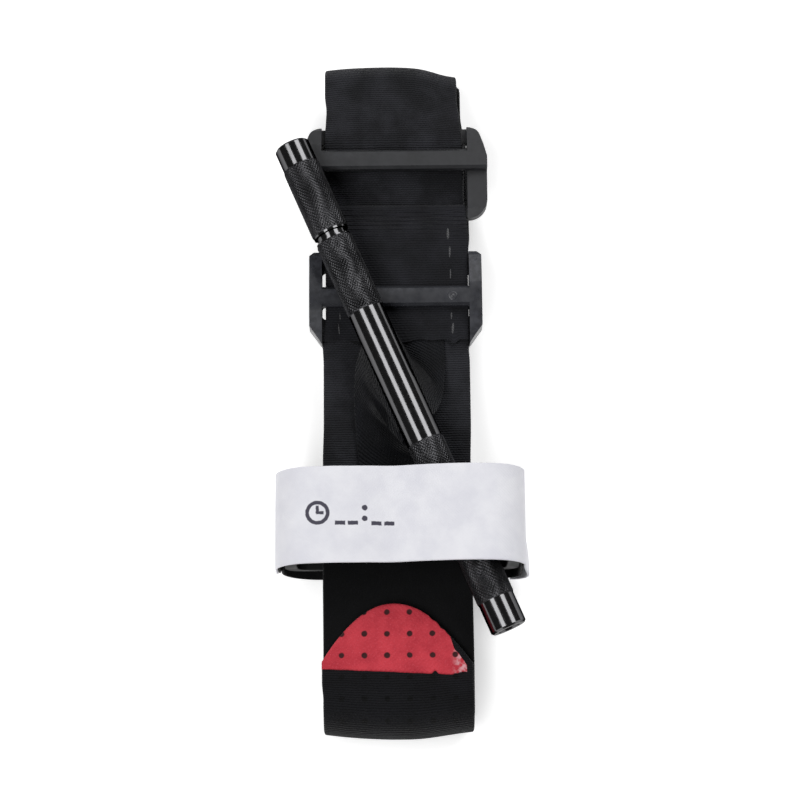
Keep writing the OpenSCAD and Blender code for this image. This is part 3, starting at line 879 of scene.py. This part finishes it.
def knurl(name, y0, y1):
    """A grip from y0 to y1 along the rod. It has starts grooves each way, pitch apart along it,
    and per points from one to the next."""
    starts, pitch, per = 32, 1.05, 6
    n_th = starts * per
    n_y = int((y1 - y0) / (pitch / per))
    th = np.linspace(0, 2 * math.pi, n_th, endpoint=False)
    yy = np.linspace(y0, y1, n_y)
    A, B = np.meshgrid(th, yy)
    p1 = A * starts + B * 2 * math.pi / pitch
    p2 = A * starts - B * 2 * math.pi / pitch
    ridge = np.minimum(np.abs(np.sin(p1 / 2)), np.abs(np.sin(p2 / 2)))
    end = np.minimum(1, np.minimum(B - y0, y1 - B) / 0.5)
    R = KNURL_LO + KNURL_RISE * ridge * end
    X, Z = R * np.cos(A), R * np.sin(A)
    verts = np.stack([X, B, Z], axis=-1).reshape(-1, 3)
    inner = np.stack([KNURL_BORE * np.cos(A[[0, -1]]), B[[0, -1]], KNURL_BORE * np.sin(A[[0, -1]])],
                     axis=-1).reshape(-1, 3)
    k0 = n_y * n_th
    faces = []
    for i in range(n_y - 1):
        for j in range(n_th):
            a, b = i * n_th + j, i * n_th + (j + 1) % n_th
            faces.append((a, b, b + n_th, a + n_th))
    for j in range(n_th):
        q = (j + 1) % n_th
        faces.append((k0 + j, k0 + q, q, j))
        last = (n_y - 1) * n_th
        faces.append((last + j, last + q, k0 + n_th + q, k0 + n_th + j))
        faces.append((k0 + q, k0 + j, k0 + n_th + j, k0 + n_th + q))
    me = bpy.data.meshes.new(name)
    me.from_pydata((np.concatenate([verts, inner]) * MM).tolist(), [], faces)
    me.materials.append(m_knurl.mat)
    turn_outward(me)
    ob = add(name, me)
    ob.matrix_world = Matrix.Translation((0, 0, ROD_Z * MM)) @ Matrix.Rotation(LEAN, 4, "Z")
    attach(ob, "windlass")


# Where each grip starts and ends along the rod
GRIPS = [(42.6, 62.2), (19.4, 40.2), (-41.4, -18.1), (-62.0, -44.0)]
for i, (a, b) in enumerate(GRIPS):
    knurl(f"rod_knurl_{i + 1}", a, b)


def skin(bm, rings):
    """Closes a row of rings of points into one solid, smooth along its length."""
    n = len(rings[0])
    for p, q in zip(rings, rings[1:]):
        for j in range(n):
            bm.faces.new((p[j], p[(j + 1) % n], q[(j + 1) % n], q[j])).smooth = True
    bm.faces.new(rings[0][::-1])
    bm.faces.new(rings[-1])


def circle(n):
    """n angles once round, in radians."""
    return np.linspace(0, 2 * math.pi, n, endpoint=False)


# Stitches: short bars of thread that dip into the cloth at both ends
def stitches(name, spots, node):
    """spots are x, y, z, the bar's run in x and y, and its radius."""
    bm = bmesh.new()
    for x, y, z, dx, dy, thick in spots:
        length = math.hypot(dx, dy)
        d = Vector((dx / length, dy / length, 0))
        side = Vector((-d.y, d.x, 0))
        rings = []
        for i in range(9):
            t = i / 8
            bow = Vector((0, 0, 0.12 * math.sin(math.pi * t) - 0.08))
            c = Vector((x, y, z)) + d * (length * (t - 0.5)) + bow
            r = thick * (0.5 + 0.5 * math.sin(math.pi * t))
            rings.append([bm.verts.new((c + side * r * math.cos(a)
                                        + Vector((0, 0, r * 0.8 * math.sin(a)))) * MM)
                          for a in circle(8)])
        skin(bm, rings)
    me = bpy.data.meshes.new(name)
    bm.to_mesh(me)
    bm.free()
    turn_outward(me)
    me.materials.append(m_thread.mat)
    ob = add(name, me)
    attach(ob, "band")
    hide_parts(node)


STITCH_Z, LEFT_STITCH_R = SLEEVE_Z + 0.28, 0.16
# The right row as x, y, dx, dy and radius. The left one mirrors it, with thinner thread
right_row = [(13.9, 41.0, 0.05, 2.9, 0.34), (14.3, 36.0, 0.1, 3.0, 0.24),
             (14.4, 30.0, 0.05, 2.8, 0.16), (14.5, 18.7, 0.1, 2.0, 0.18),
             (14.8, 15.2, 0.25, 2.9, 0.28)]
for name, bars, node in (("buckle_thread", right_row[:2], "buckle_stitching"),
                         ("sleeve_thread", right_row[2:], "sleeve_stitching")):
    left = [(-x, y, STITCH_Z, -dx, dy, LEFT_STITCH_R) for x, y, dx, dy, r in bars]
    right = [(x, y, STITCH_Z, dx, dy, r) for x, y, dx, dy, r in bars]
    stitches(name, left + right, node)


def gate_mark(x, y):
    """Rings of a moulding gate's mark on the yoke's crossbar, slightly three-cornered."""
    bm = bmesh.new()
    rings = []
    for r, h in ((1.3, -0.05), (1.15, 0.1), (0.9, 0.14), (0.62, -0.02), (0.36, 0.12), (0.12, 0.2)):
        rings.append([bm.verts.new((x + r * math.cos(a) * (1 + 0.12 * math.sin(3 * a)),
                                    y + r * math.sin(a), BAR_HI + h)) for a in circle(20)])
    skin(bm, rings)
    for v in bm.verts:
        v.co *= MM
    me = bpy.data.meshes.new("gate_mark")
    bm.to_mesh(me)
    bm.free()
    turn_outward(me)
    me.materials.append(m_plate.mat)
    return add("gate_mark", me)


gate = gate_mark(14.8, 23.4)
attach(gate, "band")


# CAD nodes that stay: materials, and softened edges on the mouldings
def coat(node, shade):
    """Gives a CAD node its material."""
    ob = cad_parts[node]
    ob.data.materials.clear()
    ob.data.materials.append(shade.mat)
    return ob


def soften(ob, bevel):
    """Softens a moulding's edges by a bevel in millimetres."""
    weld = ob.modifiers.new("weld", "WELD")
    weld.merge_threshold = 0.01 * MM
    bev = ob.modifiers.new("soft_edges", "BEVEL")
    bev.width = bevel * MM
    bev.segments = 2
    bev.limit_method = "ANGLE"
    bev.angle_limit = math.radians(35)
    bev.harden_normals = True


soften(coat("routing_buckle", m_buckle), 0.45)
soften(coat("base_plate", m_plate), 0.3)
soften(coat("windlass_clip", m_clip), 0.35)
coat("windlass_rod", m_rod)


# ---------------------------------------------------------------- stage, camera and light
def paper_floor(size, z):
    """A white floor that glows a little, so that shadows on it stay faint."""
    me = bpy.data.meshes.new("floor")
    corners = [(-size, -size, z), (size, -size, z), (size, size, z), (-size, size, z)]
    me.from_pydata(corners, [], [(0, 1, 2, 3)])
    s = Shade("floor_paper", (0.93, 0.93, 0.93), 0.9, 0.1)
    s.set("Base Color", s.mix(s.noise(s.place(), 30, 2), (0.925, 0.925, 0.925), (0.94, 0.94, 0.94)))
    s.set("Emission Color", (1, 1, 1, 1))
    s.set("Emission Strength", 0.45)
    me.materials.append(s.mat)
    return add("floor", me)


floor = paper_floor(3.0, -0.0002)

# Camera: its lean from straight above, its roll, its distance in metres, and its focal length and
# shift in the picture's pixels
TILT, ROLL, DIST = math.radians(14), math.radians(-0.55), 0.6
PICTURE, FOCAL, SHIFT_X, SHIFT_Y, SENSOR = 800, 2316, 3.5, -13.0, 36
fwd = Vector((0, math.sin(TILT), -math.cos(TILT)))
up = Vector((0, math.cos(TILT), math.sin(TILT)))
right = Vector((1, 0, 0))
cam_right = right * math.cos(ROLL) + up * math.sin(ROLL)
cam_up = up * math.cos(ROLL) - right * math.sin(ROLL)
aim = Vector((0, 0, 0.012))
cam_data = bpy.data.cameras.new("camera")
cam = add("camera", cam_data)
turn = Matrix((cam_right, cam_up, -fwd)).transposed().to_4x4()
cam.matrix_world = Matrix.Translation(aim - fwd * DIST) @ turn
cam_data.sensor_width = SENSOR
cam_data.lens = FOCAL * SENSOR / PICTURE
cam_data.shift_x = SHIFT_X / PICTURE
cam_data.shift_y = SHIFT_Y / PICTURE
cam_data.clip_start = 0.01
bpy.context.scene.camera = cam


def softbox(name, angle, along, width, length, radiance):
    """A light that faces the rod: its direction leans by angle from straight up, square to the rod,
    and by along towards the rod's top end. Its width and length are angles too, in degrees."""
    reach = 1.3
    a0, b0 = math.radians(angle), math.radians(along)
    across = Vector(ROD_SIDE) * math.cos(a0) - Vector((0, 0, math.sin(a0)))
    out = Vector(ROD_SIDE) * math.sin(a0) + Vector((0, 0, math.cos(a0)))
    out = out * math.cos(b0) + Vector(ROD_AXIS) * math.sin(b0)
    down = across.cross(out)
    data = bpy.data.lights.new(name, "AREA")
    data.shape = "RECTANGLE"
    data.size = 2 * reach * math.tan(math.radians(width / 2))
    data.size_y = 2 * reach * math.tan(math.radians(length / 2))
    data.energy = radiance * math.pi * data.size * data.size_y
    turned = Matrix((across, -down.normalized(), out)).transposed().to_4x4()
    add(name, data).matrix_world = Matrix.Translation(out * reach + Vector((0, 0, 0.02))) @ turned


softbox("softbox_left", -28.7, -8, 24, 62, 4.9)
softbox("softbox_right", 38.1, 24, 25, 50, 4.9)
world = bpy.data.worlds.new("world")
bpy.context.scene.world = world
world.use_nodes = True
world.node_tree.nodes["Background"].inputs[0].default_value = (1, 1, 1, 1)
world.node_tree.nodes["Background"].inputs[1].default_value = 0.08
bpy.context.scene.view_settings.view_transform = "Standard"
